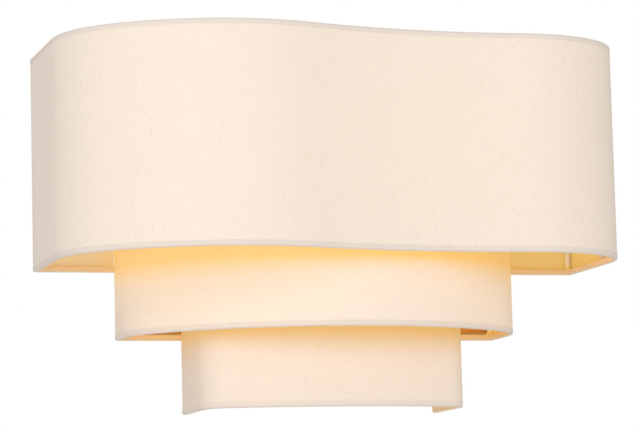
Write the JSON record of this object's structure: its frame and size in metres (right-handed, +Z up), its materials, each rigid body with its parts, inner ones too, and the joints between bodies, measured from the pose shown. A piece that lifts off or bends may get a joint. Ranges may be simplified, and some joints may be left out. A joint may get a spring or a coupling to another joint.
{
  "type": "wall light",
  "caption": "Wall light with a three-tier fabric shade of half drums, the top one waved, lifted off a wall plate that carries two lampholders.",
  "frame": {"origin": "on the wall face, at the middle of the crossbar's slot pattern", "axes": "+X to the right as seen from the room, +Y into the wall, +Z up"},
  "size_m": [0.4, 0.1843, 0.251],
  "materials": {
    "linen": "natural woven cloth with seed flecks, matt",
    "hem_linen": "natural woven cloth turned in double, matt",
    "liner": "translucent stiff sheet, matt",
    "frame_wire": "white powder coat",
    "tape": "woven cotton tape",
    "strap_steel": "white powder coat",
    "plate_brass": "satin",
    "zinc_steel": "zinc plated",
    "nickel": "nickel plated",
    "holder_plastic": "moulded",
    "insert_plastic": "moulded ceramic-like",
    "block_plastic": "moulded polyamide",
    "live_sleeve": "brown insulation",
    "neutral_sleeve": "blue insulation",
    "earth_sleeve": "green and yellow insulation",
    "opal_glass": "opal, lit"
  },
  "bodies": {
    "fixture": {"crossbar": "zinc_steel", "crossbar_studs": "zinc_steel", "dome_nuts": "nickel", "wall_plate": "plate_brass", "shade_studs": "nickel", "arm": "plate_brass", "arm_nut": "zinc_steel", "arm_collar": "plate_brass", "hub": "plate_brass", "hub_lid": "plate_brass", "nipples": "zinc_steel", "left_holder_cap": "holder_plastic", "left_holder_body": "holder_plastic", "left_holder_insert": "insert_plastic", "right_holder_cap": "holder_plastic", "right_holder_body": "holder_plastic", "right_holder_insert": "insert_plastic", "left_live_lead": "live_sleeve", "left_neutral_lead": "neutral_sleeve", "right_live_lead": "live_sleeve", "right_neutral_lead": "neutral_sleeve", "earth_lead": "earth_sleeve", "terminal_block": "block_plastic", "terminal_screws": "nickel", "earth_tag": "nickel", "earth_screw": "nickel"},
    "shade": {"upper_cover": "linen", "upper_liner": "liner", "upper_struts": "frame_wire", "upper_top_hem": "hem_linen", "upper_bottom_hem": "hem_linen", "upper_top_hoop": "frame_wire", "upper_bottom_hoop": "frame_wire", "middle_cover": "linen", "middle_liner": "liner", "middle_struts": "frame_wire", "middle_top_hem": "hem_linen", "middle_bottom_hem": "hem_linen", "middle_top_hoop": "frame_wire", "middle_bottom_hoop": "frame_wire", "lower_cover": "linen", "lower_liner": "liner", "lower_struts": "frame_wire", "lower_top_hem": "hem_linen", "lower_bottom_hem": "hem_linen", "lower_top_hoop": "frame_wire", "lower_bottom_hoop": "frame_wire", "upper_back_panel": "linen", "upper_back_liner": "liner", "seam_tapes": "tape", "left_mounting_strap": "strap_steel", "right_mounting_strap": "strap_steel", "joining_straps": "strap_steel"},
    "left_nut": {"left_knurled_nut": "nickel"},
    "right_nut": {"right_knurled_nut": "nickel"},
    "left_lamp": {"left_lamp_cap": "nickel", "left_lamp_globe": "opal_glass"},
    "right_lamp": {"right_lamp_cap": "nickel", "right_lamp_globe": "opal_glass"}
  },
  "joints": [
    {"name": "shade_lift", "type": "slide", "parent": "fixture", "child": "shade", "axis": [0, 0, 1], "range_m": [0, 0.012]},
    {"name": "left_nut_turn", "type": "hinge", "parent": "fixture", "child": "left_nut", "pos_m": [-0.121, -0.0185, 0], "axis": [0, -1, 0], "range_deg": [0, 720]},
    {"name": "right_nut_turn", "type": "hinge", "parent": "fixture", "child": "right_nut", "pos_m": [0.121, -0.0185, 0], "axis": [0, -1, 0], "range_deg": [0, 720]},
    {"name": "left_lamp_turn", "type": "hinge", "parent": "fixture", "child": "left_lamp", "pos_m": [-0.08, -0.074, 0], "axis": [-1, 0, 0], "range_deg": [0, 720]},
    {"name": "right_lamp_turn", "type": "hinge", "parent": "fixture", "child": "right_lamp", "pos_m": [0.08, -0.074, 0], "axis": [1, 0, 0], "range_deg": [0, 720]}
  ]
}
